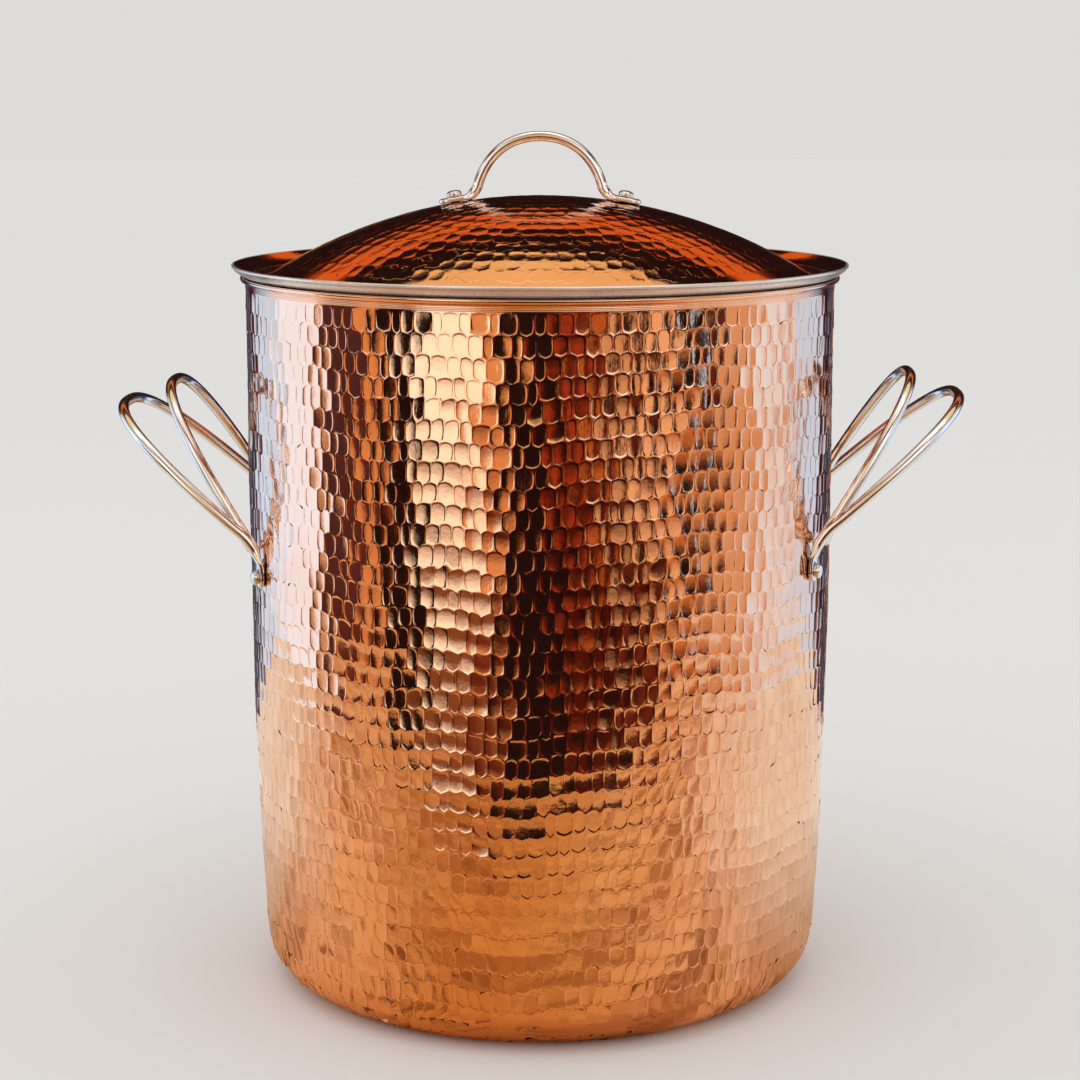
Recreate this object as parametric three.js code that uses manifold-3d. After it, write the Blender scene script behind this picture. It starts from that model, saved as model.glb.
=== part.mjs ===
// A tall hammered copper stockpot with a domed lid, two double-loop side handles and an arched lid handle.
// Units are millimetres and +Z is up. The origin is the centre of the flat base, the side handles stand
// on +X and -X, and every angle round the pot is counted from +X about +Z.
import * as THREE from "three";
import { mergeVertices } from "three/addons/utils/BufferGeometryUtils.js";
import Module from "manifold-3d";

// Clearance between neighbouring pieces.
const GAP = 0.3;

// Pot: a straight upper wall that tapers a little below its middle, then turns in over a round corner.
const BODY_RADIUS = 137.5;
const WALL = 2.0;
const FOOT_WALL_RADIUS = 132.8;
const BASE_CORNER_RADIUS = 22.9;
const TAPER_TOP = 217;
const TAPER_POWER = 2.62;
const LIP_RADIUS = 140;
const LIP_BOTTOM = 331;
const LIP_FLARE_TOP = 333.6;
const RIM_TOP = 335.6;
const RIM_ROUND = 0.8;

// Lid: a dome, a shallow valley that drops inside the mouth, and a flange that flares up over the rim.
const LID_SHEET = 1.5;
const LID_APEX = 371.9;
const VALLEY_RADIUS = 131;
const VALLEY_FILLET = 17;
const FLANGE_RADIUS = 143.3;

// Feet of both kinds of handle: the rod's last stretch, hammered flat.
const FOOT_WIDTH = 9;
const FOOT_THICKNESS = 2.4;

// Side handles: an outer rod with a bolted foot at each end, and an inner rod welded beside it at the roots.
// A root is where a loop bends out from the wall. The two handles sit at slightly different heights.
const SIDE_ROD_RADIUS = 2.5;
const MOUNT_ANGLE_DEG = 24.5;
const RIGHT_ROOT_Z = 221.4;
const LEFT_ROOT_Z = 216.4;
const OUTER_LOOP = { leanDeg: 41.2, reach: 88.8, squareness: 2.64 };
const INNER_LOOP = { leanDeg: 58.6, reach: 80.1, squareness: 2.52 };
const BOLT_BELOW_ROOT = 15.5;
const FOOT_BELOW_BOLT = 5;
const FOOT_KINK = 4;
const FOOT_LEAN_DEG = 15.5;
const OUTER_ROD_RUN = 7;
const INNER_ROD_RUN = 5;

// Lid handle: one round rod with flattened feet.
const LID_ROD_RADIUS = 2.35;
const ARCH_TOP = 399.4;
const ARCH_HALF_WIDTH = 30;
const ARCH_LEG_LEAN_DEG = 15;
const ARCH_LEG_PULL = 16;
const ARCH_CROWN_PULL = 17;
const ARCH_RUN_IN = 3;
const ARCH_STEPS = 8;
const FOOT_TIP_X = 46.7;
const LID_BOLT_X = 39.2;

// M4 fasteners: a pan-head bolt from outside, a flat washer and a closed cap nut inside.
const BOLT_RADIUS = 2;
const HOLE_RADIUS = BOLT_RADIUS + GAP;
const HEAD_RADIUS = 3.5;
const HEAD_HEIGHT = 3.0;
const HEAD_EDGE = 1.6;
const WASHER_RADIUS = 5;
const WASHER_THICKNESS = 1;
const NUT_ACROSS_CORNERS = 8.1;
const NUT_HEX_HEIGHT = 3.2;
const NUT_DOME_RADIUS = 3.3;
const NUT_BORE_DEPTH = 4.6;
// A flat washer on the curved inner wall stands off by this much more than the clearance.
const WASHER_SETTLE = 0.1;

const ROUND_SEGMENTS = 60;
const inRadians = THREE.MathUtils.degToRad;
const inDegrees = THREE.MathUtils.radToDeg;

const COPPER = { color: 0xc8754c, roughness: 0.22, metalness: 1 };
const STEEL = { color: 0xcfc8bd, roughness: 0.18, metalness: 1 };

const wasm = await Module();
wasm.setup();

// Solid geometry helpers

function toManifold(geometry) {
  const plain = geometry.clone();
  plain.deleteAttribute("normal");
  plain.deleteAttribute("uv");
  const merged = mergeVertices(plain, 1e-4);
  return new wasm.Manifold(
    new wasm.Mesh({
      numProp: 3,
      vertProperties: merged.attributes.position.array,
      triVerts: new Uint32Array(merged.index.array),
    }),
  );
}

function toGeometry(manifold) {
  const mesh = manifold.getMesh();
  const geometry = new THREE.BufferGeometry();
  geometry.setAttribute("position", new THREE.BufferAttribute(mesh.vertProperties, 3));
  geometry.setIndex(new THREE.BufferAttribute(mesh.triVerts, 1));
  geometry.computeVertexNormals();
  return geometry;
}

function common(first, second) {
  return toGeometry(toManifold(first).intersect(toManifold(second)));
}

function cut(geometry, tools) {
  const solid = tools.reduce((left, tool) => left.subtract(toManifold(tool)), toManifold(geometry));
  return toGeometry(solid);
}

function join(geometries) {
  const [first, ...rest] = geometries.map(toManifold);
  return toGeometry(rest.reduce((sum, next) => sum.add(next), first));
}

// Turns a half outline of (radius, height) points into a solid round the Z axis.
function turned(outline, segments = ROUND_SEGMENTS) {
  return new THREE.LatheGeometry(outline, segments).rotateX(Math.PI / 2);
}

// Points on an arc in the (radius, height) plane, from one angle to another.
function arc(centreR, centreZ, radius, fromDeg, toDeg, steps) {
  return Array.from({ length: steps + 1 }, (_, i) => {
    const a = inRadians(fromDeg + ((toDeg - fromDeg) * i) / steps);
    return new THREE.Vector2(centreR + radius * Math.cos(a), centreZ + radius * Math.sin(a));
  });
}

function roundBar(curve, radius, steps, sides) {
  const section = new THREE.Shape().absarc(0, 0, radius, 0, 2 * Math.PI);
  const settings = { extrudePath: curve, steps, curveSegments: sides / 2, bevelEnabled: false };
  return new THREE.ExtrudeGeometry(section, settings);
}

function plate(outline, thickness, curveSegments = 6) {
  return new THREE.ExtrudeGeometry(outline, { depth: thickness, curveSegments, bevelEnabled: false });
}

// A round pin along +Z between two heights.
function pin(radius, bottom, top, sides = 16) {
  return new THREE.CylinderGeometry(radius, radius, top - bottom, sides)
    .rotateX(Math.PI / 2)
    .translate(0, 0, (top + bottom) / 2);
}

// Lid section: the dome and the valley arc touch, which sets the dome's radius and the angle where they meet.

const seatRadius = LIP_RADIUS - WALL;
const underFillet = VALLEY_FILLET + LID_SHEET;
const seatDrop = Math.sqrt(underFillet ** 2 - (seatRadius - VALLEY_RADIUS) ** 2);
const valleyCentreZ = RIM_TOP + GAP + seatDrop;
const apexRise = LID_APEX - valleyCentreZ;
const domeRadius =
  (VALLEY_RADIUS ** 2 + apexRise ** 2 - VALLEY_FILLET ** 2) / (2 * (VALLEY_FILLET + apexRise));
const domeCentreZ = LID_APEX - domeRadius;
const domeEdgeDeg = inDegrees(Math.atan2(valleyCentreZ - domeCentreZ, VALLEY_RADIUS));
const flangeEdgeDeg = -inDegrees(Math.acos((FLANGE_RADIUS - VALLEY_RADIUS) / VALLEY_FILLET));

const domeHeight = (x) => domeCentreZ + Math.sqrt(domeRadius ** 2 - x ** 2);
const domeSlope = (x) => Math.asin(x / domeRadius);

// Pot

function wallRadius(z) {
  const down = Math.max(0, (TAPER_TOP - z) / (TAPER_TOP - BASE_CORNER_RADIUS));
  return BODY_RADIUS - (BODY_RADIUS - FOOT_WALL_RADIUS) * down ** TAPER_POWER;
}

function wallPoints(inset, cornerSteps, wallSteps) {
  const cornerCentreR = FOOT_WALL_RADIUS - BASE_CORNER_RADIUS;
  const corner = arc(cornerCentreR, BASE_CORNER_RADIUS, BASE_CORNER_RADIUS - inset, -90, 0, cornerSteps);
  const wall = Array.from({ length: wallSteps }, (_, i) => {
    const z = BASE_CORNER_RADIUS + ((TAPER_TOP - BASE_CORNER_RADIUS) * (i + 1)) / wallSteps;
    return new THREE.Vector2(wallRadius(z) - inset, z);
  });
  return [...corner, ...wall];
}

function potBody(boltPlacements) {
  const outside = [
    new THREE.Vector2(0, 0),
    ...wallPoints(0, 6, 5),
    new THREE.Vector2(BODY_RADIUS, LIP_BOTTOM),
    new THREE.Vector2(LIP_RADIUS, LIP_FLARE_TOP),
    ...arc(LIP_RADIUS - RIM_ROUND, RIM_TOP - RIM_ROUND, RIM_ROUND, 0, 90, 3),
  ];
  const inside = [
    new THREE.Vector2(0, WALL),
    ...wallPoints(WALL, 4, 4),
    new THREE.Vector2(BODY_RADIUS - WALL, LIP_BOTTOM),
    new THREE.Vector2(seatRadius, LIP_FLARE_TOP),
    new THREE.Vector2(seatRadius, RIM_TOP - RIM_ROUND),
  ];
  const shell = turned([...outside, ...inside.reverse()]);
  const drill = boltPlacements.map((placement) =>
    pin(HOLE_RADIUS, BODY_RADIUS - 2 * WALL, BODY_RADIUS + WALL).applyMatrix4(placement),
  );
  return cut(shell, drill);
}

// Side handles

// Carries a shape whose +Z is its own axis onto the radial line at an angle and height, with +X up the wall.
function radialPlacement(angle, z) {
  const outward = new THREE.Vector3(Math.cos(angle), Math.sin(angle), 0);
  const up = new THREE.Vector3(0, 0, 1);
  const across = new THREE.Vector3().crossVectors(outward, up);
  return new THREE.Matrix4().makeBasis(up, across, outward).setPosition(0, 0, z);
}

const mountAngle = inRadians(MOUNT_ANGLE_DEG);
const footLean = inRadians(FOOT_LEAN_DEG);
const footInnerFace = BODY_RADIUS + GAP;
const footOuterFace = footInnerFace + FOOT_THICKNESS;
const rootStandOff = (BOLT_BELOW_ROOT - FOOT_KINK) * Math.tan(footLean);
const rootRadius = footInnerFace + FOOT_THICKNESS / 2 + rootStandOff;

// The middle line of a rod loop on +X, with its roots at height zero. Each end runs a little way down the
// leaning foot, and the bow between the roots is a rounded U in a leaning plane.
function loopCurve({ leanDeg, reach, squareness }, towardMiddle, run) {
  const lean = inRadians(leanDeg);
  const power = 2 / squareness;
  const rootX = rootRadius * Math.cos(mountAngle) + towardMiddle * Math.sin(mountAngle);
  const rootY = rootRadius * Math.sin(mountAngle) - towardMiddle * Math.cos(mountAngle);
  const bowPoint = (a) => {
    const out = reach * Math.sin(a) ** power;
    const side = Math.sign(Math.cos(a)) * Math.abs(Math.cos(a)) ** power;
    return new THREE.Vector3(rootX + out * Math.cos(lean), -rootY * side, out * Math.sin(lean));
  };
  const footPoint = (side, down) => {
    const inward = down * Math.sin(footLean);
    const x = rootX - inward * Math.cos(mountAngle);
    const y = side * (rootY - inward * Math.sin(mountAngle));
    return new THREE.Vector3(x, y, -down * Math.cos(footLean));
  };
  const ends = (side) => [footPoint(side, run), footPoint(side, run / 2)];
  const justPastRoot = 0.02;
  const bowSteps = 22;
  const bow = Array.from({ length: bowSteps - 1 }, (_, i) => bowPoint((Math.PI * (i + 1)) / bowSteps));
  bow.unshift(bowPoint(justPastRoot));
  bow.push(bowPoint(Math.PI - justPastRoot));
  return new THREE.CatmullRomCurve3([...ends(-1), ...bow, ...ends(1).reverse()], false, "centripetal");
}

// One flattened foot in the bolt's frame. It lies flat on the wall round the bolt and leans out above it.
function sideFoot() {
  const half = FOOT_WIDTH / 2;
  const top = BOLT_BELOW_ROOT - OUTER_ROD_RUN + SIDE_ROD_RADIUS;
  const shoulder = FOOT_KINK + 1;
  const rise = (top - FOOT_KINK) * Math.tan(footLean);
  const profile = new THREE.Shape([
    new THREE.Vector2(-FOOT_BELOW_BOLT, footInnerFace),
    new THREE.Vector2(FOOT_KINK, footInnerFace),
    new THREE.Vector2(top, footInnerFace + rise),
    new THREE.Vector2(top, footOuterFace + rise),
    new THREE.Vector2(FOOT_KINK, footOuterFace),
    new THREE.Vector2(-FOOT_BELOW_BOLT, footOuterFace),
  ]);
  const outline = new THREE.Shape();
  outline.moveTo(half - FOOT_BELOW_BOLT, -half);
  outline.lineTo(shoulder, -half);
  outline.quadraticCurveTo(top - half / 2, -half, top, -SIDE_ROD_RADIUS);
  outline.lineTo(top, SIDE_ROD_RADIUS);
  outline.quadraticCurveTo(top - half / 2, half, shoulder, half);
  outline.lineTo(half - FOOT_BELOW_BOLT, half);
  outline.absarc(half - FOOT_BELOW_BOLT, 0, half, Math.PI / 2, 1.5 * Math.PI, false);
  const strip = plate(profile, FOOT_WIDTH).rotateX(Math.PI / 2).translate(0, half, 0);
  const cookie = plate(outline, 4 * FOOT_WIDTH, 10).translate(0, 0, BODY_RADIUS - FOOT_WIDTH);
  const drill = pin(HOLE_RADIUS, BODY_RADIUS, BODY_RADIUS + FOOT_WIDTH);
  return cut(common(strip, cookie), [drill]);
}

function outerLoop() {
  const rod = roundBar(loopCurve(OUTER_LOOP, 0, OUTER_ROD_RUN), SIDE_ROD_RADIUS, 44, 8);
  const feet = [-mountAngle, mountAngle].map((angle) =>
    sideFoot().applyMatrix4(radialPlacement(angle, -BOLT_BELOW_ROOT)),
  );
  return join([rod, ...feet]);
}

// The two rods cross side by side just above the roots, where both run straight out from the wall.
function innerLoop() {
  const beside = (2 * SIDE_ROD_RADIUS + GAP) / Math.cos(mountAngle);
  return roundBar(loopCurve(INNER_LOOP, beside, INNER_ROD_RUN), SIDE_ROD_RADIUS, 44, 8);
}

// Fasteners, modelled with the bolt's axis on +Z and the outer face it clamps at height zero

function panHeadBolt(shankLength) {
  const domeSteps = 3;
  const domeRise = HEAD_HEIGHT - HEAD_EDGE;
  const crown = Array.from({ length: domeSteps + 1 }, (_, i) => {
    const a = (Math.PI / 2) * (i / domeSteps);
    return new THREE.Vector2(HEAD_RADIUS * Math.cos(a), GAP + HEAD_EDGE + domeRise * Math.sin(a));
  });
  crown[domeSteps].x = 0;
  return turned(
    [
      new THREE.Vector2(0, -shankLength),
      new THREE.Vector2(BOLT_RADIUS, -shankLength),
      new THREE.Vector2(BOLT_RADIUS, GAP),
      new THREE.Vector2(HEAD_RADIUS, GAP),
      ...crown,
    ],
    16,
  );
}

// The washer's outer face is at height zero and the piece lies below it.
function flatWasher() {
  const edge = [
    new THREE.Vector2(HOLE_RADIUS, -WASHER_THICKNESS),
    new THREE.Vector2(WASHER_RADIUS, -WASHER_THICKNESS),
    new THREE.Vector2(WASHER_RADIUS, 0),
    new THREE.Vector2(HOLE_RADIUS, 0),
    new THREE.Vector2(HOLE_RADIUS, -WASHER_THICKNESS),
  ];
  return turned(edge, 16);
}

// A closed cap nut below height zero, with its blind bore open at the top.
function capNut() {
  const hex = pin(NUT_ACROSS_CORNERS / 2, -NUT_HEX_HEIGHT, 0, 6);
  const dome = new THREE.SphereGeometry(NUT_DOME_RADIUS, 12, 8).translate(0, 0, -NUT_HEX_HEIGHT);
  const bore = pin(HOLE_RADIUS, -NUT_BORE_DEPTH, GAP);
  return cut(join([hex, dome]), [bore]);
}

// Lid

function lidShell(boltXs) {
  const top = [
    ...arc(0, domeCentreZ, domeRadius, domeEdgeDeg, 90, 8).reverse(),
    ...arc(VALLEY_RADIUS, valleyCentreZ, VALLEY_FILLET, domeEdgeDeg - 180, flangeEdgeDeg, 6).slice(1),
  ];
  const under = [
    ...arc(0, domeCentreZ, domeRadius - LID_SHEET, domeEdgeDeg, 90, 8).reverse(),
    ...arc(VALLEY_RADIUS, valleyCentreZ, underFillet, domeEdgeDeg - 180, flangeEdgeDeg, 6).slice(1),
  ];
  top[0].x = 0;
  under[0].x = 0;
  const shell = turned([...under, ...top.reverse()]);
  const drill = boltXs.map((x) => pin(HOLE_RADIUS, -2 * LID_SHEET, LID_SHEET).applyMatrix4(lidPlacement(x)));
  return cut(shell, drill);
}

// Carries a shape whose +Z is its own axis onto the dome's outward normal at x, at the dome's top surface.
function lidPlacement(x) {
  return new THREE.Matrix4().makeRotationY(domeSlope(x)).setPosition(x, 0, domeHeight(x));
}

// One foot of the lid handle in the bolt's frame: a flat with a round tip, lying just above the dome.
function lidFoot() {
  const half = FOOT_WIDTH / 2;
  const tip = FOOT_TIP_X - LID_BOLT_X;
  const inner = ARCH_HALF_WIDTH - LID_BOLT_X;
  const outline = new THREE.Shape();
  outline.moveTo(inner, -LID_ROD_RADIUS);
  outline.quadraticCurveTo(inner / 2, -LID_ROD_RADIUS, inner / 2 + half / 2, -half);
  outline.lineTo(tip - half, -half);
  outline.absarc(tip - half, 0, half, -Math.PI / 2, Math.PI / 2, false);
  outline.lineTo(inner / 2 + half / 2, half);
  outline.quadraticCurveTo(inner / 2, LID_ROD_RADIUS, inner, LID_ROD_RADIUS);
  outline.closePath();
  return plate(outline, FOOT_THICKNESS).translate(0, 0, GAP);
}

function lidHandle() {
  const rootX = ARCH_HALF_WIDTH;
  const rootZ = domeHeight(rootX) + GAP + LID_ROD_RADIUS;
  const lean = inRadians(ARCH_LEG_LEAN_DEG);
  const slope = domeSlope(LID_BOLT_X);
  const legTop = (side) => {
    const x = rootX - ARCH_LEG_PULL * Math.sin(lean);
    return new THREE.Vector3(side * x, 0, rootZ + ARCH_LEG_PULL * Math.cos(lean));
  };
  const root = (side) => new THREE.Vector3(side * rootX, 0, rootZ);
  const footEnd = (side) => {
    const x = rootX + ARCH_RUN_IN * Math.cos(slope);
    return new THREE.Vector3(side * x, 0, rootZ - ARCH_RUN_IN * Math.sin(slope));
  };
  const onLeg = (side) => root(side).lerp(legTop(side), ARCH_RUN_IN / ARCH_LEG_PULL);
  const crown = new THREE.Vector3(0, 0, ARCH_TOP);
  const halfArch = (side) => {
    const beside = new THREE.Vector3(side * ARCH_CROWN_PULL, 0, ARCH_TOP);
    return new THREE.CubicBezierCurve3(onLeg(side), legTop(side), beside, crown).getPoints(ARCH_STEPS);
  };
  const arch = [...halfArch(-1), ...halfArch(1).reverse().slice(1)];
  const path = new THREE.CatmullRomCurve3([footEnd(-1), ...arch, footEnd(1)], false, "centripetal");
  const rod = roundBar(path, LID_ROD_RADIUS, 40, 10);
  const rightFoot = lidFoot().applyMatrix4(lidPlacement(LID_BOLT_X));
  const leftFoot = lidFoot().rotateZ(Math.PI).applyMatrix4(lidPlacement(-LID_BOLT_X));
  const drill = [-LID_BOLT_X, LID_BOLT_X].map((x) =>
    pin(HOLE_RADIUS, -LID_SHEET, 2 * FOOT_THICKNESS).applyMatrix4(lidPlacement(x)),
  );
  return cut(join([rod, leftFoot, rightFoot]), drill);
}

// Assembly

const assembly = new THREE.Group();

function place(parent, name, geometry, look) {
  const mesh = new THREE.Mesh(geometry, new THREE.MeshStandardMaterial(look));
  mesh.name = name;
  parent.add(mesh);
  return mesh;
}

// One bolt, its washer and its cap nut, on an axis that starts at the clamped outer face.
function fasten(parent, name, faceHeight, innerFace) {
  const washerTop = innerFace - GAP;
  const nutTop = washerTop - WASHER_THICKNESS - GAP;
  const shank = faceHeight - nutTop + NUT_BORE_DEPTH - 2 * GAP;
  place(parent, `${name}_bolt`, panHeadBolt(shank), STEEL).position.z = faceHeight;
  place(parent, `${name}_washer`, flatWasher(), STEEL).position.z = washerTop;
  place(parent, `${name}_nut`, capNut(), STEEL).position.z = nutTop;
}

function sideHandle(name, turn, rootZ) {
  const handle = new THREE.Group();
  handle.rotation.z = turn;
  handle.position.z = rootZ;
  place(handle, `${name}_outer_loop`, outerLoop(), STEEL);
  place(handle, `${name}_inner_loop`, innerLoop(), STEEL);
  for (const [end, side] of [["front", -1], ["rear", 1]]) {
    const mount = new THREE.Group();
    const angle = side * Math.cos(turn) * mountAngle;
    mount.applyMatrix4(radialPlacement(angle, -BOLT_BELOW_ROOT));
    fasten(mount, `${name}_${end}`, footOuterFace, BODY_RADIUS - WALL - WASHER_SETTLE);
    handle.add(mount);
  }
  return handle;
}

const boltPlacements = [[0, RIGHT_ROOT_Z], [Math.PI, LEFT_ROOT_Z]].flatMap(([turn, rootZ]) =>
  [-mountAngle, mountAngle].map((side) => radialPlacement(turn + side, rootZ - BOLT_BELOW_ROOT)),
);
place(assembly, "pot_body", potBody(boltPlacements), COPPER);
assembly.add(sideHandle("right", 0, RIGHT_ROOT_Z));
assembly.add(sideHandle("left", Math.PI, LEFT_ROOT_Z));

const lid = new THREE.Group();
place(lid, "lid_shell", lidShell([-LID_BOLT_X, LID_BOLT_X]), COPPER);
place(lid, "lid_handle", lidHandle(), STEEL);
for (const [end, x] of [["lid_left", -LID_BOLT_X], ["lid_right", LID_BOLT_X]]) {
  const fastener = new THREE.Group();
  fastener.applyMatrix4(lidPlacement(x));
  fasten(fastener, end, GAP + FOOT_THICKNESS, -LID_SHEET);
  lid.add(fastener);
}
assembly.add(lid);

export default assembly;
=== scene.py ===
import math
from types import SimpleNamespace

import bpy
import numpy as np
from mathutils import Matrix, Vector


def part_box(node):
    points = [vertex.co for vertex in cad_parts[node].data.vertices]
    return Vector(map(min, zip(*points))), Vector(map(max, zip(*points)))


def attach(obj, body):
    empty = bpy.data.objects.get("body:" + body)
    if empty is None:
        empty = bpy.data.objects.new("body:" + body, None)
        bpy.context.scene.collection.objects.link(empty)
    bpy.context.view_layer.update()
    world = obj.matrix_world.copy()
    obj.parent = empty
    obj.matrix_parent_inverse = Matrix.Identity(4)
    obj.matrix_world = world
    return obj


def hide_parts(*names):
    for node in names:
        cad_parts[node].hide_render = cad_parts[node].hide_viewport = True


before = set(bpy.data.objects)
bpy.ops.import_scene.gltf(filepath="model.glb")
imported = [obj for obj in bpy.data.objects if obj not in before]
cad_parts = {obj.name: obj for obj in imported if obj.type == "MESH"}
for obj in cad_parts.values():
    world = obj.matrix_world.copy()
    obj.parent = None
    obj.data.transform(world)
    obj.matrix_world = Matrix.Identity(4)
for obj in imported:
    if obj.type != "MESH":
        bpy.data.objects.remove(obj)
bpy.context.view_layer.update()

MM = 0.001
TAU = 2 * math.pi
UP = np.array([0.0, 0.0, 1.0])


# ----- Sizes, read from the frame's boxes -----

POT_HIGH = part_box("pot_body")[1]
LID_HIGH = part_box("lid_shell")[1]

# Pot section
LIP_RADIUS = POT_HIGH.x
RIM_TOP = POT_HIGH.z
BODY_RADIUS = LIP_RADIUS - 2.5 * MM
WALL = 2.0 * MM
FOOT_WALL_RADIUS = BODY_RADIUS - 4.7 * MM
BASE_CORNER = 22.9 * MM
TAPER_TOP = 217 * MM
TAPER_POWER = 2.62
NECK_BOTTOM = RIM_TOP - 5.6 * MM

# Lid section
LID_SHEET = 1.5 * MM
LID_APEX = LID_HIGH.z
VALLEY_RADIUS = 131 * MM
VALLEY_FILLET = 17 * MM
FLANGE_RADIUS = VALLEY_RADIUS + (LID_HIGH.x - VALLEY_RADIUS) * VALLEY_FILLET / (VALLEY_FILLET + LID_SHEET)
SEAT_GAP = 0.3 * MM
SEAT_RADIUS = LIP_RADIUS - WALL
UNDER_FILLET = VALLEY_FILLET + LID_SHEET
VALLEY_CENTRE_Z = RIM_TOP + SEAT_GAP + math.sqrt(UNDER_FILLET**2 - (SEAT_RADIUS - VALLEY_RADIUS) ** 2)
APEX_RISE = LID_APEX - VALLEY_CENTRE_Z
DOME_RADIUS = (VALLEY_RADIUS**2 + APEX_RISE**2 - VALLEY_FILLET**2) / (2 * (VALLEY_FILLET + APEX_RISE))
DOME_CENTRE_Z = LID_APEX - DOME_RADIUS
DOME_EDGE_RADIUS = DOME_RADIUS * VALLEY_RADIUS / (DOME_RADIUS + VALLEY_FILLET)


# ----- Mesh helpers -----


def linked(name, data):
    obj = bpy.data.objects.new(name, data)
    bpy.context.scene.collection.objects.link(obj)
    return obj


def new_object(name, points, faces, materials, face_slots=None, normals=None):
    """A smooth mesh object from points and faces, with a material number per face and a normal per point."""
    mesh = bpy.data.meshes.new(name)
    mesh.from_pydata([tuple(p) for p in points], [], [tuple(int(i) for i in f) for f in faces])
    for m in materials:
        mesh.materials.append(m)
    mesh.polygons.foreach_set("use_smooth", np.full(len(mesh.polygons), True))
    if face_slots is not None:
        mesh.polygons.foreach_set("material_index", np.asarray(face_slots, np.int32))
    if normals is not None:
        mesh.normals_split_custom_set_from_vertices(np.asarray(normals, float).tolist())
    mesh.update()
    return linked(name, mesh)


def fit_in(obj, node, body):
    """Puts a piece in the place of a CAD node, on its body."""
    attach(obj, body)
    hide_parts(node)


def unit(vectors):
    return vectors / np.linalg.norm(vectors, axis=-1, keepdims=True)


def spokes(angle):
    """Unit vectors straight out from Z."""
    return np.stack([np.cos(angle), np.sin(angle), np.zeros_like(angle)], -1)


def lengths(path):
    """How far along a path each of its points is."""
    return np.concatenate([[0], np.cumsum(np.linalg.norm(np.diff(path, axis=0), axis=1))])


def turns(count):
    """Even steps round a circle, as angles."""
    return np.arange(count) * TAU / count


def ring(radius, height, angle):
    """Points at these angles round Z, at one height. The radius is one number or one per point."""
    return np.stack([radius * np.cos(angle), radius * np.sin(angle), np.full(len(angle), height)], -1)


def rings(section, angle):
    """A ring for each (radius, height) pair of a section."""
    return np.array([ring(r, z, angle) for r, z in section])


def ring_quads(rows, cols):
    """Quads of a grid that closes round its columns; rows run first to last."""
    i = np.arange(cols)
    k = (i + 1) % cols
    base = np.arange(rows - 1)[:, None] * cols
    quads = np.stack([base + i, base + k, base + cols + k, base + cols + i], -1)
    return quads.reshape(-1, 4)


def capped_faces(rows, cols):
    """The faces of a bar made of rings: its quads and a flat cap at either end."""
    faces = [tuple(q[::-1]) for q in ring_quads(rows, cols)]
    return [*faces, tuple(range(cols)), tuple((rows - 1) * cols + i for i in range(cols))[::-1]]


def tag(obj, name, values, elsewhere, first=0):
    """Values that materials read by name, for the points from the first one on, and one value elsewhere."""
    tags = np.full(len(obj.data.vertices), elsewhere, np.float32)
    tags[first : first + values.size] = values.ravel()
    obj.data.attributes.new(name, "FLOAT", "POINT").data.foreach_set("value", tags)


def shell(name, grid, normals, ends, metal, lined_from):
    """A closed shell of rings: metal, and tin from one ring on. Fans close it at two heights on the axis."""
    rows, cols, _ = grid.shape
    quads, facing = ring_quads(rows, cols), 1
    here = np.arange(cols)
    after = np.roll(here, -1)
    if ends[0] > ends[1]:
        quads, facing, here, after = quads[:, ::-1], -1, after, here
    n = rows * cols
    last = n - cols
    fans = [*zip(after, here, [n] * cols), *zip(last + here, last + after, [n + 1] * cols)]
    slots = np.repeat(np.arange(rows - 1) >= lined_from, cols).tolist() + [0] * cols + [1] * cols
    points = np.vstack([grid.reshape(-1, 3), [(0, 0, z) for z in ends]])
    point_normals = np.vstack([normals.reshape(-1, 3), [(0, 0, -facing), (0, 0, facing)]])
    return new_object(name, points, [*quads, *fans], [metal, tin], slots, point_normals)


def carried(points, place):
    """Points carried to their place by a matrix."""
    return np.array([place @ Vector(p) for p in points])


def bar(name, path, outlines, side, up, material):
    """A closed bar whose outline at each path point is an array of (side, up) pairs."""
    rows = [p + o[:, :1] * s + o[:, 1:] * u for p, o, s, u in zip(path, outlines, side, up)]
    return new_object(name, np.concatenate(rows), capped_faces(len(rows), len(rows[0])), [material])


def directions(path):
    return unit(np.gradient(path, axis=0))


def sweep(name, path, outlines, material, reference):
    """A bar along a path. The up of its outlines lies close to the reference, one or one per point."""
    tangent = directions(path)
    side = unit(np.cross(tangent, reference))
    return bar(name, path, outlines, side, np.cross(side, tangent), material)


def rounded_box(half_width, half_height, power, sides):
    """An outline round its centre: a circle at power 1, and squarer below it."""
    c, s = np.cos(turns(sides)), np.sin(turns(sides))
    across = np.sign(c) * np.abs(c) ** power * half_width
    return np.stack([across, np.sign(s) * np.abs(s) ** power * half_height], -1)


def smooth_path(corners, count):
    """A centripetal Catmull-Rom curve through the corners, sampled at even steps of length."""
    p = np.vstack([2 * corners[0] - corners[1], corners, 2 * corners[-1] - corners[-2]])
    out = []
    for i in range(len(corners) - 1):
        level = list(p[i : i + 4])
        t = np.cumsum([0] + [np.linalg.norm(b - a) ** 0.5 for a, b in zip(level, level[1:])])
        s = np.linspace(t[1], t[2], 24, endpoint=False)[:, None]
        for spans in (((0, 1), (1, 2), (2, 3)), ((0, 2), (1, 3)), ((1, 2),)):
            pairs = [(t[j], t[k], a, b) for (j, k), a, b in zip(spans, level, level[1:])]
            level = [(t1 - s) / (t1 - t0) * a + (s - t0) / (t1 - t0) * b for t0, t1, a, b in pairs]
        out.append(level[0])
    out.append(p[-2][None])
    dense = np.vstack(out)
    length = lengths(dense)
    even = np.linspace(0, length[-1], count)
    return np.stack([np.interp(even, length, dense[:, k]) for k in range(3)], -1)


# ----- Materials -----


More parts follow.
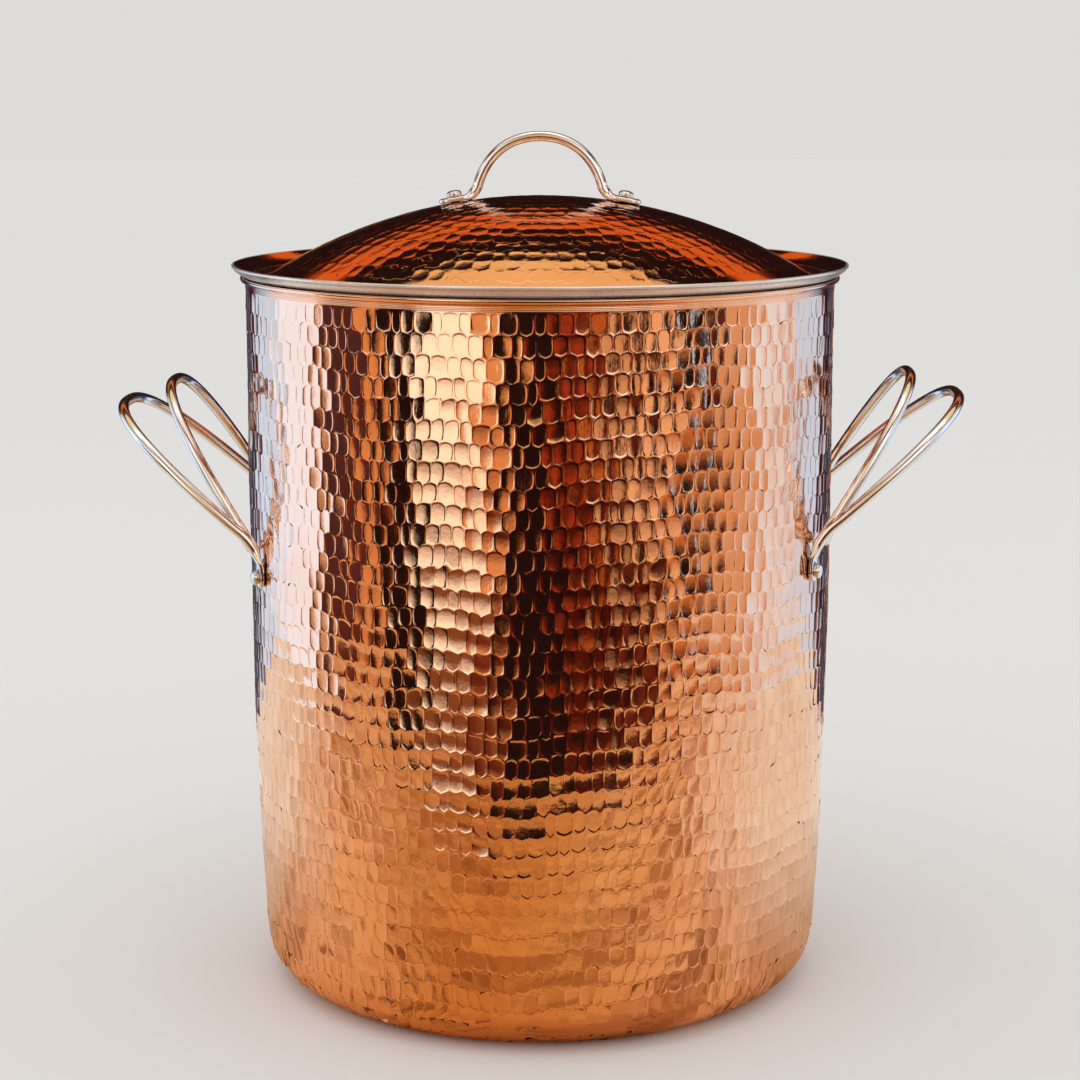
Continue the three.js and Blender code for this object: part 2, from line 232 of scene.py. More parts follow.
class Nodes:
    """A small writer of material node trees."""

    def __init__(self, name):
        self.material = bpy.data.materials.new(name)
        self.material.use_nodes = True
        self.tree = self.material.node_tree
        self.tree.nodes.clear()
        shader = self.node("BsdfPrincipled", {})
        self.surface = shader.node
        self.end("OutputMaterial", shader)

    def put(self, socket, value):
        if hasattr(value, "is_linked"):
            self.tree.links.new(value, socket)
        elif isinstance(value, tuple) and len(value) == 3 and socket.type == "RGBA":
            socket.default_value = (*value, 1)
        elif value is not None:
            socket.default_value = value

    def node(self, kind, inputs, output=0, **settings):
        """A new shader node whose inputs are given values or links. Returns one of its outputs."""
        node = self.tree.nodes.new("ShaderNode" + kind)
        for key, value in settings.items():
            setattr(node, key, value)
        for key, value in inputs.items():
            self.put(node.inputs[key], value)
        return node.outputs[output]

    def end(self, kind, shader):
        self.put(self.tree.nodes.new("ShaderNode" + kind).inputs[0], shader)

    def position(self, scale=(1, 1, 1)):
        where = self.node("TexCoord", {}, "Object")
        return self.node("Mapping", {"Vector": where, "Scale": scale})

    def noise(self, vector, scale, detail=4, rough=0.6, distortion=0.0):
        settings = {"Scale": scale, "Detail": detail, "Roughness": rough, "Distortion": distortion}
        return self.node("TexNoise", {"Vector": vector, **settings}, "Fac")

    def value(self, name):
        return self.node("Attribute", {}, "Fac", attribute_name=name)

    def ray(self, kind):
        return self.node("LightPath", {}, f"Is {kind} Ray")

    def math(self, op, a, b=0.0):
        return self.node("Math", {0: a, 1: b}, operation=op)

    def plus(self, a, b):
        return self.math("ADD", a, b)

    def times(self, a, b):
        return self.math("MULTIPLY", a, b)

    def bearing(self, x, y):
        """Degrees round the object, with 0 straight toward the viewer and the viewer's left negative."""
        return self.times(self.math("ARCTAN2", x, self.times(y, -1.0)), 360 / TAU)

    def separate(self, vector):
        return [self.node("SeparateXYZ", {0: vector}, axis) for axis in range(3)]

    def span(self, value, low, high, to_low=0.0, to_high=1.0, kind="LINEAR"):
        """Carries low..high to to_low..to_high, and holds the ends."""
        inputs = {"Value": value, "From Min": low, "From Max": high, "To Min": to_low, "To Max": to_high}
        return self.node("MapRange", inputs, interpolation_type=kind)

    def mix(self, factor, a, b):
        return self.node("Mix", {0: factor, 6: a, 7: b}, 2, data_type="RGBA")

    def ramp(self, value, stops):
        colour = self.node("ValToRGB", {0: value})
        elements = colour.node.color_ramp.elements
        while len(elements) < len(stops):
            elements.new(0.5)
        for element, (at, tone) in zip(elements, stops):
            element.position = at
            element.color = (*tone, 1)
        return colour

    def bump(self, height, strength, distance, normal=None):
        inputs = {"Strength": strength, "Distance": distance, "Height": height, "Normal": normal}
        return self.node("Bump", inputs)

    def set(self, **values):
        for key, value in values.items():
            self.put(self.surface.inputs[key.replace("_", " ")], value)


def copper_material(name, light, deep):
    """Polished copper, whose tone differs from mark to mark and in patches, with smudges and scratches.

    The rim of each mark, which the mesh shapes, is sharpened by a rounded-square bump."""
    n = Nodes(name)
    here = n.position()
    patches = n.noise(here, 11, 5, 0.62, 0.4)
    mottle = n.noise(here, 150, 3, 0.55)
    mark = n.value("mark")
    colour = n.mix(n.span(patches, 0.36, 0.66), deep, light)
    colour = n.mix(n.span(mark, 0.0, 1.0, 0.0, 0.12), colour, deep)
    colour = n.mix(n.span(mottle, 0.58, 0.78, 0.0, 0.3), colour, deep)
    smudge = n.noise(here, 26, 6, 0.7, 1.2)
    grain = n.noise(n.position((1, 1, 7)), 380, 2, 0.5)
    rough = n.span(smudge, 0.3, 0.75, 0.04, 0.08)
    rough = n.plus(rough, n.times(mark, 0.015))
    rough = n.plus(rough, n.span(grain, 0.58, 0.8, 0.0, 0.05))
    across = n.math("POWER", n.value("mark_across"), 5.0)
    upward = n.math("POWER", n.value("mark_upward"), 5.0)
    outward = n.math("POWER", n.plus(across, upward), 0.2)
    rim = n.span(outward, 0.76, 1.03, kind="SMOOTHSTEP")
    hair = n.noise(n.position((1, 1, 0.06)), 900, 2, 0.7)
    edge = n.bump(rim, 1.0, 0.00004)
    dimple = n.bump(n.noise(here, 170, 2, 0.5), 0.10, 0.0006, edge)
    fine = n.bump(n.noise(here, 700, 3, 0.6), 0.05, 0.0002, dimple)
    normal = n.bump(hair, 0.05, 0.0002, fine)
    n.set(Base_Color=colour, Metallic=1.0, Roughness=rough, Normal=normal)
    return n.material


def tin_material(name):
    """Wiped tin: silvery, with cloudy patches and circular wipe marks."""
    n = Nodes(name)
    here = n.position()
    cloud = n.noise(here, 18, 6, 0.65, 1.0)
    tones = (0.3, (0.70, 0.69, 0.67)), (0.52, (0.83, 0.82, 0.81)), (0.75, (0.91, 0.91, 0.90))
    colour = n.ramp(cloud, tones)
    wipe = n.noise(n.position((0.4, 0.4, 14)), 60, 4, 0.6, 0.8)
    rough = n.plus(n.span(cloud, 0.3, 0.8, 0.20, 0.40), n.span(wipe, 0.4, 0.7, -0.03, 0.06))
    normal = n.bump(wipe, 0.12, 0.0004, n.bump(n.noise(here, 240, 4, 0.6), 0.12, 0.0003))
    n.set(Base_Color=colour, Metallic=0.75, Roughness=rough, Normal=normal)
    return n.material


def steel_material(name, tone, rough_low, rough_high):
    """Polished stainless steel with drawn lines, smudges and small scratches."""
    n = Nodes(name)
    here = n.position()
    smudge = n.noise(here, 55, 5, 0.65, 0.8)
    speck = n.noise(here, 900, 2, 0.5)
    dark = tuple(0.78 * v for v in tone)
    colour = n.mix(n.span(smudge, 0.4, 0.75, 0.0, 0.6), tone, dark)
    rough = n.plus(n.span(smudge, 0.3, 0.75, rough_low, rough_high), n.span(speck, 0.62, 0.8, 0.0, 0.1))
    drawn = n.noise(n.position((1, 0.15, 1)), 1500, 2, 0.6)
    normal = n.bump(drawn, 0.06, 0.0001, n.bump(n.noise(here, 380, 3, 0.6), 0.06, 0.0002))
    n.set(Base_Color=colour, Metallic=1.0, Roughness=rough, Normal=normal)
    return n.material


copper = copper_material("hammered_copper", (0.97, 0.66, 0.50), (0.92, 0.54, 0.36))
lid_copper = copper_material("lid_copper", (0.96, 0.58, 0.38), (0.88, 0.44, 0.25))
tin = tin_material("tin_lining")
steel = steel_material("polished_steel", (0.84, 0.90, 0.97), 0.11, 0.19)
bolt_steel = steel_material("fastener_steel", (0.79, 0.83, 0.87), 0.12, 0.24)


# ----- Pot: hammered copper shell, with its tin lining -----

MARKS_ROUND = 138
MARK_HEIGHT = 9.0 * MM
MARK_WIDTH = TAU * BODY_RADIUS / MARKS_ROUND
# Grid lines across and up one mark: its ridge, the edge of its dish, its middle, and the dish's other edge.
ACROSS = np.array([-1.0, -0.92, 0.0, 0.92])
UPWARD = np.array([-1.0, -0.93, 0.0, 0.93])
STEPS = len(ACROSS)
WALL_COLUMNS = MARKS_ROUND * STEPS
SIDE_SLOPE = math.radians(3.6)
RISE_SLOPE = math.radians(2.3)
CREST = 0.012 * MM
# The corners of a dish are drawn in by this much, which rounds them.
CORNER_PULL = 0.92
# The marks round the base corner are deeper, by up to this much more.
CORNER_MARKS_TO = 50 * MM
CORNER_COARSER = 1.3
# Radius of the fan of triangles in the middle of the base.
BASE_HUB = 0.03 * (FOOT_WALL_RADIUS - BASE_CORNER)


def wall_radius(z):
    down = np.clip((TAPER_TOP - z) / (TAPER_TOP - BASE_CORNER), 0, None)
    return BODY_RADIUS - (BODY_RADIUS - FOOT_WALL_RADIUS) * down**TAPER_POWER


def wall_section():
    """The hammered wall's (radius, height) points from the flat base up to the neck, close together."""
    a = np.linspace(-math.pi / 2, 0, 60)
    corner_r = FOOT_WALL_RADIUS - BASE_CORNER + BASE_CORNER * np.cos(a)
    corner_z = BASE_CORNER + BASE_CORNER * np.sin(a)
    z = np.linspace(BASE_CORNER, NECK_BOTTOM, 400)[1:]
    return np.concatenate([corner_r, wall_radius(z)]), np.concatenate([corner_z, z])


def gentle_waves(angle, along, rng):
    """Slow unevenness of the wall: height, and its slope round and up the wall."""
    height, slope_round, slope_up = (np.zeros_like(angle) for _ in range(3))
    for _ in range(7):
        turns_round = int(rng.integers(5, 19))
        per_metre = rng.uniform(-1, 1) * TAU / (75 * MM)
        reach = math.hypot(turns_round / BODY_RADIUS, per_metre)
        size = math.radians(rng.uniform(0.25, 0.55)) / reach
        phase = turns_round * angle + per_metre * along + rng.uniform(0, TAU)
        height += size * np.sin(phase)
        slope_round += size * turns_round / BODY_RADIUS * np.cos(phase)
        slope_up += size * per_metre * np.cos(phase)
    return height, slope_round, slope_up


def row_drift(rng):
    """How far the rows wander up and down round the wall, in rows."""
    drift = np.zeros(WALL_COLUMNS)
    for waves in (2, 3, 5, 9, 14):
        size = rng.uniform(0.06, 0.16)
        drift += size * np.sin(waves * turns(WALL_COLUMNS) + rng.uniform(0, TAU))
    return drift


def random_marks(rows, rng):
    """The random properties of the marks: one shift per row, and the rest one per row and mark."""
    each = (rows, MARKS_ROUND)
    return SimpleNamespace(
        shift=np.cumsum(rng.choice([0, 1, 2, 2, 3], rows))[:, None] % STEPS,
        slide=rng.uniform(-0.2, 0.2, each) * STEPS,
        cusp=rng.uniform(-0.03, 0.10, each),
        sag=rng.uniform(0.05, 0.20, each),
        side=rng.uniform(0.45, 1.5, each) * SIDE_SLOPE,
        rise=rng.uniform(0.45, 1.5, each) * RISE_SLOPE,
        lean_side=np.radians(rng.normal(0, 1.5, each)),
        lean_up=np.radians(rng.normal(0, 0.75, each)),
        tone=rng.uniform(0, 1, each),
    )


def per_column(values, cells):
    """One value per mark, given to every column of it."""
    return np.take_along_axis(values, cells, 1)


def between(values, cells, fraction):
    """One value per ridge between marks, carried across each mark."""
    after = per_column(values, (cells + 1) % MARKS_ROUND)
    return per_column(values, cells) * (1 - fraction) + after * fraction


def mark_grid(rows, pitch, rng):
    """The marks as a flat grid of points: place in columns, lift in rows, height, slopes, tone and reach.

    Each mark is a dish of 4 by 4 quads with a rounded ridge round it. Rows are shifted against each other,
    a mark's lower edge sags in a curve, and every mark has its own depth and tilt. Reach is how far a point
    is from the middle of its mark, across and up."""
    marks = random_marks(rows, rng)
    local = np.arange(WALL_COLUMNS) - marks.shift
    cells = local // STEPS % MARKS_ROUND
    u = ACROSS[local % STEPS]
    fraction = (u + 1) / 2
    places = local // STEPS * STEPS + marks.shift + STEPS * fraction + between(marks.slide, cells, fraction)
    sagging = between(marks.cusp, cells, fraction) - per_column(marks.sag, cells) * (1 - np.abs(u) ** 3)
    edges = np.zeros((rows + 1, WALL_COLUMNS))
    edges[1:-1] = sagging[1:]
    each = marks.side, marks.rise, marks.lean_side, marks.lean_up, marks.tone
    side, rise, lean_side, lean_up, tone = (per_column(values, cells) for values in each)
    half_width, half_height = MARK_WIDTH / 2, pitch / 2
    deepest = (side * half_width + rise * half_height) / 4 * 1.15 + CREST

    shape = (rows * STEPS + 1, WALL_COLUMNS)
    place, lift, height, tones = (np.zeros(shape) for _ in range(4))
    slopes = np.zeros((*shape, 2))
    reach = np.ones((2, *shape))
    for k in range(1, STEPS):
        line = np.arange(rows) * STEPS + k
        v = UPWARD[k]
        corner = np.where((np.abs(u) > 0.5) & (np.abs(u) < 1) & (abs(v) > 0.5), CORNER_PULL, 1.0)
        uu, vv = u * corner, v * corner
        fraction = (vv + 1) / 2
        place[line] = places + (uu - u) * STEPS / 2
        lift[line] = edges[:-1] * (1 - fraction) + edges[1:] * fraction + np.arange(rows)[:, None] + fraction
        dish = side * half_width * uu**2 / 2 + rise * half_height * vv**2 / 2 - deepest
        dish += lean_side * half_width * uu + lean_up * half_height * vv
        slope = np.stack([side * uu + lean_side, rise * vv + lean_up], -1)
        crest = u == -1
        height[line] = np.where(crest, (np.roll(dish, 1, 1) + np.roll(dish, -1, 1)) / 2 + CREST, dish)
        level = (np.roll(slope, 1, 1) + np.roll(slope, -1, 1)) / 2
        slopes[line] = np.where(crest[..., None], level, slope)
        tones[line], reach[0, line], reach[1, line] = tone, np.abs(u), abs(v)

    row = np.arange(rows + 1)
    below, above = np.maximum(row - 1, 0), np.minimum(row, rows - 1)
    place[::STEPS] = (places[below] + places[above]) / 2
    lift[::STEPS] = row[:, None] + edges
    tones[::STEPS], reach[0, ::STEPS] = tone[above], np.abs(u[above])
    ridge = row[1:-1] * STEPS
    height[ridge] = (height[ridge - 1] + height[ridge + 1]) / 2 + CREST
    slopes[ridge] = (slopes[ridge - 1] + slopes[ridge + 1]) / 2
    place[0] = place[-1] = np.arange(WALL_COLUMNS)
    return place, lift, height, slopes, tones, reach


def hammered_wall():
    """Points and normals of the marked wall, with the tone and reach of mark_grid."""
    rng = np.random.default_rng(7)
    r, z = wall_section()
    length = np.concatenate([[0], np.cumsum(np.hypot(np.diff(r), np.diff(z)))])
    rows = round(length[-1] / MARK_HEIGHT)
    pitch = length[-1] / rows
    place, lift, height, slopes, tones, reach = mark_grid(rows, pitch, rng)

    # Toward the wall's first and last line the rows straighten and the marks fade.
    line = np.arange(len(place))[:, None]
    rows_from_end = np.minimum(line, line[::-1]) / STEPS
    angle = place * TAU / WALL_COLUMNS
    along = (lift + row_drift(rng) * np.clip(rows_from_end / 3, 0, 1)) * pitch
    along[0], along[-1] = 0, length[-1]
    wave, wave_round, wave_up = gentle_waves(angle, along, rng)
    slow = np.clip(rows_from_end / 4, 0, 1)
    coarser = 1 + CORNER_COARSER * np.clip((CORNER_MARKS_TO - along) / MARK_HEIGHT, 0, 1)
    strength = np.clip(rows_from_end / 0.6, 0, 1) * coarser
    height = height * strength + wave * slow
    slope_round = slopes[..., 0] * strength + wave_round * slow
    slope_up = slopes[..., 1] * strength + wave_up * slow

    def on_wall(values):
        return np.interp(along, length, values)[..., None]

    run_r, run_z = on_wall(np.gradient(r, length)), on_wall(np.gradient(z, length))
    out = spokes(angle)
    around = np.cross(UP, out)
    normal = out * run_z - UP * run_r
    upward = out * run_r + UP * run_z
    points = out * on_wall(r) + UP * on_wall(z) + normal * height[..., None]
    points[..., 2] = np.maximum(points[..., 2], 0)
    shaded = unit(normal - around * slope_round[..., None] - upward * slope_up[..., None])
    return points, shaded, tones, reach


def rim_section():
    """Neck beads, flared lip and rim, then down the inside, as (radius, height), and the number of the point
    where the lining starts, just inside the top of the rim."""
    bead, bead_pitch = 0.2 * MM, 0.7 * MM
    out = []
    z = NECK_BOTTOM
    for _ in range(3):
        for t in (0.8, 1.57, 2.34, math.pi):
            out.append((BODY_RADIUS + bead * math.sin(t), z + bead_pitch * t / math.pi))
        z += bead_pitch
    out += [(BODY_RADIUS + 0.3 * MM, z + 0.5 * MM), (BODY_RADIUS + 1.1 * MM, z + 1.1 * MM)]
    out += [(LIP_RADIUS - 0.3 * MM, z + 1.6 * MM)]
    lined_from = len(out) + 4
    half, flatter = WALL / 2, 0.85
    for t in np.linspace(0, math.pi, 7):
        out.append((LIP_RADIUS - half + half * math.cos(t), RIM_TOP - half * flatter * (1 - math.sin(t))))
    inner = BODY_RADIUS - WALL
    out += [(inner + 0.7 * MM, z + 0.6 * MM), (inner, z - 0.9 * MM), (inner, TAPER_TOP)]
    out += [(float(wall_radius(h)) - WALL, h) for h in (0.6 * TAPER_TOP, BASE_CORNER)]
    centre = FOOT_WALL_RADIUS - BASE_CORNER
    small = BASE_CORNER - WALL
    for t in np.radians([-22, -45, -68, -90]):
        out.append((centre + small * math.cos(t), BASE_CORNER + small * math.sin(t)))
    return out, lined_from


def section_normals(section):
    """(radius, height) normals of a section whose surface faces right of its direction."""
    step = unit(np.diff(section, axis=0))
    step = np.vstack([step[:1], step, step[-1:]])
    r, z = unit(step[:-1] + step[1:]).T
    return np.stack([z, -r], -1)


def pot_shell():
    wall, wall_normals, tones, reach = hammered_wall()
    rim, lined_from = rim_section()
    rim_normals = section_normals([(BODY_RADIUS, NECK_BOTTOM - MM), *rim])[1:]
    angle = turns(WALL_COLUMNS)
    base, floor = rings([(BASE_HUB, 0)], angle), rings([(BASE_HUB, WALL)], angle)
    down, up = rings([(0, -1)], angle), rings([(0, 1)], angle)
    grid = np.concatenate([base, wall, rings(rim, angle), floor])
    normals = np.concatenate([down, wall_normals, rings(rim_normals, angle), up])
    obj = shell("pot_shell", grid, normals, (0, WALL), copper, 1 + len(wall) + lined_from)
    first = WALL_COLUMNS  # the wall's first point, after the base's one ring
    tag(obj, "mark", tones, 0.5, first)
    tag(obj, "mark_across", reach[0], 1.0, first)
    tag(obj, "mark_upward", reach[1], 1.0, first)
    fit_in(obj, "pot_body", "pot")


# ----- Lid -----

LID_COLUMNS = 560
# Radius of the fan of triangles in the middle of the lid.
LID_HUB = 1.2 * MM
RING_PITCH = 7.6 * MM
LID_MARK = 7.3 * MM
LID_MARK_RADIUS = 58 * MM
LID_MARK_DEPTH = 0.16 * MM
HAMMERED_TO = 114.5 * MM
FLATTER_FROM_TO = (92 * MM, 112 * MM)


def dome_height(radius):
    return DOME_CENTRE_Z + np.sqrt(DOME_RADIUS**2 - radius**2)


def lid_marks(radius, angle):
    """Depth of the dome's hammer marks at polar points, its slope, a tone per mark, and how far out of its
    mark each point is. The marks are shallow round dishes in rings; the deepest wins where they meet."""
    rng = np.random.default_rng(23)
    best = np.zeros_like(radius)
    second = np.zeros_like(radius)
    tone = np.full_like(radius, 0.5)
    slope = np.zeros((*radius.shape, 2))
    x, y = radius * np.cos(angle), radius * np.sin(angle)
    nearest = np.round(radius / RING_PITCH).astype(int)
    for number in range(int(HAMMERED_TO / RING_PITCH) + 1):
        at = number * RING_PITCH
        count = max(1, round(TAU * at / LID_MARK))
        start = rng.uniform(0, TAU)
        a = start + (np.arange(count) + rng.uniform(-0.16, 0.16, count)) * TAU / count
        mark_at = at + rng.uniform(-0.7, 0.7, count) * MM
        flatter = np.interp(at, FLATTER_FROM_TO, (1.0, 1.9))
        deep = rng.uniform(0.7, 1.3, count) * LID_MARK_DEPTH / flatter
        roundness = rng.uniform(0.8, 1.3, count) * LID_MARK_RADIUS * flatter
        tones = rng.uniform(0, 1, count)
        near = np.abs(nearest - number) <= 1
        guess = np.round((angle[near] - start) / (TAU / count)).astype(int)
        for step in (-1, 0, 1):
            i = (guess + step) % count
            dx = x[near] - mark_at[i] * np.cos(a[i])
            dy = y[near] - mark_at[i] * np.sin(a[i])
            dish = (dx * dx + dy * dy) / (2 * roundness[i]) - deep[i]
            lower = dish < best[near]
            second[near] = np.where(lower, best[near], np.minimum(second[near], dish))
            best[near] = np.where(lower, dish, best[near])
            tone[near] = np.where(lower, tones[i], tone[near])
            run = np.stack([dx, dy], -1) / roundness[i][:, None]
            slope[near] = np.where(lower[:, None], run, slope[near])
    between_marks = LID_MARK**2 / (2 * LID_MARK_RADIUS)
    outward = np.where(best < 0, 1 - np.clip((second - best) / between_marks, 0, 1), 0.0)
    return best, slope, tone, outward


def hammered_dome():
    """Rings of points and normals on the dome, with the depth, tone and outwardness of lid_marks."""
    radii = np.linspace(LID_HUB, DOME_EDGE_RADIUS, 126)
    radius, angle = np.meshgrid(radii, turns(LID_COLUMNS), indexing="ij")
    depth, slope, tone, outward = lid_marks(radius, angle)
    out = spokes(angle)
    lean = radius / DOME_RADIUS
    normal = out * lean[..., None] + UP * np.sqrt(1 - lean**2)[..., None]
    points = out * radius[..., None] + UP * dome_height(radius)[..., None] + normal * depth[..., None]
    shaded = unit(normal - np.concatenate([slope, np.zeros((*angle.shape, 1))], -1))
    return points, shaded, depth, tone, outward


def valley_arc(radius, angles, facing):
    """An arc of the valley, as (radius, height) and the same of its normal: up where facing is 1."""
    s, c = np.sin(angles), np.cos(angles)
    return list(zip(VALLEY_RADIUS + radius * s, VALLEY_CENTRE_Z - radius * c, -facing * s, facing * c))


def lid_section():
    """The lid from the dome's edge through the valley, round the flange and back underneath, and the number
    of the point where the lining starts, at the edge of the flange."""
    start = math.asin(VALLEY_RADIUS / (DOME_RADIUS + VALLEY_FILLET))
    end = math.asin((FLANGE_RADIUS - VALLEY_RADIUS) / VALLEY_FILLET)
    out = valley_arc(VALLEY_FILLET, np.linspace(-start, end, 14)[1:], 1)
    r, z, *facing = out[-1]
    out[-1] = (r - 0.35 * MM, z - 0.33 * MM, *facing)
    lined_from = len(out) - 1
    half = LID_SHEET / 2
    middle = VALLEY_FILLET + half
    edge_r = VALLEY_RADIUS + middle * math.sin(end) - half * 0.85
    edge_z = VALLEY_CENTRE_Z - middle * math.cos(end) - half * 0.3
    for t in np.linspace(0.25 * math.pi, -0.75 * math.pi, 9)[1:-1] + end:
        out.append((edge_r + half * math.cos(t), edge_z + half * math.sin(t), math.cos(t), math.sin(t)))
    out += valley_arc(UNDER_FILLET, np.linspace(end, -start, 12)[1:], -1)
    under = DOME_RADIUS - LID_SHEET
    for r in np.linspace(out[-1][0], LID_HUB, 12)[1:]:
        level = DOME_CENTRE_Z + math.sqrt(under**2 - r**2)
        out.append((r, level, -r / under, -math.sqrt(1 - (r / under) ** 2)))
    return out, lined_from


def lid_shell():
    dome, dome_normals, depth, tone, outward = hammered_dome()
    section, lined_from = lid_section()
    angle = turns(LID_COLUMNS)
    grid = np.concatenate([dome, rings([p[:2] for p in section], angle)])
    normals = np.concatenate([dome_normals, rings([p[2:] for p in section], angle)])
    ends = (LID_APEX + depth[0].mean(), LID_APEX - LID_SHEET)
    obj = shell("lid_dome", grid, normals, ends, lid_copper, len(dome) + lined_from)
    tag(obj, "mark", tone, 0.5)
    tag(obj, "mark_across", outward, 0.0)
    fit_in(obj, "lid_shell", "lid")


# ----- Side handles -----

HANDLE_ROD = 2.5 * MM
MOUNT_ANGLE = math.radians(24.5)
FOOT_HALF_WIDTH = 4.5 * MM
FOOT_THICKNESS = 2.4 * MM
FOOT_HALF_THICK = FOOT_THICKNESS / 2
FOOT_LEAN = math.radians(15.5)
FOOT_KINK = 4 * MM
FOOT_BELOW_BOLT = 5 * MM
BOLT_BELOW_ROOT = 15.5 * MM
TIP_TO_ROOT = FOOT_BELOW_BOLT + BOLT_BELOW_ROOT
FOOT_INNER_FACE = BODY_RADIUS + 0.3 * MM
FOOT_OUTER_FACE = FOOT_INNER_FACE + FOOT_THICKNESS
ROOT_RADIUS = FOOT_INNER_FACE + FOOT_HALF_THICK + (BOLT_BELOW_ROOT - FOOT_KINK) * math.tan(FOOT_LEAN)
ROD_SIDES = 20
# Each loop leans out of the wall, reaches this far, and is a superellipse of this power.
OUTER_LEAN, OUTER_REACH, OUTER_POWER = math.radians(41.2), 88.8 * MM, 2.64
INNER_LEAN, INNER_REACH, INNER_POWER = math.radians(58.6), 80.1 * MM, 2.52
INNER_BESIDE = (2 * HANDLE_ROD + 0.3 * MM) / math.cos(MOUNT_ANGLE)
INNER_RUN = 5 * MM
WELD_SWELL, WELD_AT, WELD_SPREAD = 0.35 * MM, 4 * MM, 3 * MM
MOUNT_OUT = np.array([math.cos(MOUNT_ANGLE), math.sin(MOUNT_ANGLE)])


def soft_step(value, low, high):
    t = np.clip((value - low) / (high - low), 0, 1)
    return t * t * (3 - 2 * t)


def loop_root(toward_middle):
    return ROOT_RADIUS * MOUNT_OUT + toward_middle * MOUNT_OUT[::-1] * (1, -1)


def loop_bow(lean, reach, power, toward_middle):
    """The bow of a loop on +X between its roots at height zero, from the -Y root to the +Y one."""
    x, y = loop_root(toward_middle)
    a = np.array([0.02, *np.linspace(0, math.pi, 37)[1:-1], math.pi - 0.02])
    out = reach * np.sin(a) ** (2 / power)
    across = -y * np.sign(np.cos(a)) * np.abs(np.cos(a)) ** (2 / power)
    return np.stack([x + out * math.cos(lean), across, out * math.sin(lean)], -1)


def loop_path(radius_out, heights, bow, count):
    """One row of points: an end of a loop listed from its tip, the bow, and the other end."""
    ends = np.column_stack([radius_out, heights])
    return smooth_path(np.vstack([ends * (1, -1, 1), bow, ends[::-1]]), count)


def turned_to(side):
    """What a loop on +X is multiplied by to stand on the left or right of the pot."""
    turn = 1 if side == "right" else -1
    return (turn, turn, 1)


def on_side(path, side):
    """Carries a path on the +X handle to the left or right handle of the pot."""
    low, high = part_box(f"{side}_front_bolt")
    return path * turned_to(side) + (0, 0, (low.z + high.z) / 2 + BOLT_BELOW_ROOT)


def from_tips(path):
    """How far each point of a path is from the nearer tip, measured along it."""
    length = lengths(path)
    return np.minimum(length, length[-1] - length)


def flattened(rod, flat, from_tip, sides, squarer, blunt, edge, soft):
    """Outlines of a rod, flat where flat is 1, whose tips are rounded in width and thinned at the edge."""
    width = rod + (FOOT_HALF_WIDTH - rod) * flat
    thick = rod + (FOOT_HALF_THICK - rod) * flat
    into = np.clip(1 - from_tip / FOOT_HALF_WIDTH, 0, 1)
    width *= np.sqrt(np.maximum(blunt, 1 - into**2))
    thick *= edge + (1 - edge) * np.clip(from_tip / soft, 0, 1)
    return [rounded_box(w, h, power, sides) for w, h, power in zip(width, thick, 1 - squarer * flat)]


def outer_rod(side):
    """The outer rod: bolted feet, flat on the wall and then leaning out, that run into the round bow."""
    heights = [-FOOT_BELOW_BOLT, -0.5 * MM, FOOT_KINK - 1.5 * MM, FOOT_KINK + 1.5 * MM, 8.5 * MM, 12.5 * MM]
    heights = np.array(heights)
    lifted = np.clip(heights - FOOT_KINK, 0, None) * math.tan(FOOT_LEAN)
    feet = np.outer(FOOT_INNER_FACE + FOOT_HALF_THICK + lifted, MOUNT_OUT)
    bow = loop_bow(OUTER_LEAN, OUTER_REACH, OUTER_POWER, 0)
    path = loop_path(feet, heights - BOLT_BELOW_ROOT, bow, 620)
    gone = from_tips(path)
    flat = 1 - soft_step(gone, 0.55 * TIP_TO_ROOT, TIP_TO_ROOT - 2 * MM)
    tip = {"squarer": 0.5, "blunt": 0.03, "edge": 0.6, "soft": 0.7 * MM}
    outlines = flattened(HANDLE_ROD, flat, gone, ROD_SIDES, **tip)
    out_x, out_y = MOUNT_OUT
    wall_normal = np.stack([np.full(len(path), out_x), np.sign(path[:, 1]) * out_y, np.zeros(len(path))], -1)
    bow_normal = np.array([-math.sin(OUTER_LEAN), 0, math.cos(OUTER_LEAN)])
    to_bow = soft_step(gone, TIP_TO_ROOT, 2.2 * TIP_TO_ROOT)[:, None]
    reference = (wall_normal * (1 - to_bow) - bow_normal * to_bow) * turned_to(side)
    rod = sweep(f"{side}_outer_rod", on_side(path, side), outlines, steel, reference)
    fit_in(rod, f"{side}_outer_loop", "pot")


def inner_rod(side):
    """The inner rod, whose round ends swell into small welds on the outer rod beside them."""
    down = np.array([INNER_RUN, INNER_RUN / 2])
    ends = loop_root(INNER_BESIDE) - np.outer(down * math.sin(FOOT_LEAN), MOUNT_OUT)
    bow = loop_bow(INNER_LEAN, INNER_REACH, INNER_POWER, INNER_BESIDE)
    path = loop_path(ends, -down * math.cos(FOOT_LEAN), bow, 420)
    gone = from_tips(path)
    weld = WELD_SWELL * np.exp(-(((gone - WELD_AT) / WELD_SPREAD) ** 2))
    closing = np.sqrt(np.clip(1 - np.clip(1 - gone / (1.8 * MM), 0, 1) ** 2, 0.04, 1))
    outlines = [rounded_box(r, r, 1, ROD_SIDES) for r in (HANDLE_ROD + weld) * closing]
    bow_normal = np.array([-math.sin(INNER_LEAN), 0, math.cos(INNER_LEAN)]) * turned_to(side)
    rod = sweep(f"{side}_inner_rod", on_side(path, side), outlines, steel, bow_normal)
    fit_in(rod, f"{side}_inner_loop", "pot")


def side_handles():
    for side in ("left", "right"):
        outer_rod(side)
        inner_rod(side)


# ----- Lid handle -----

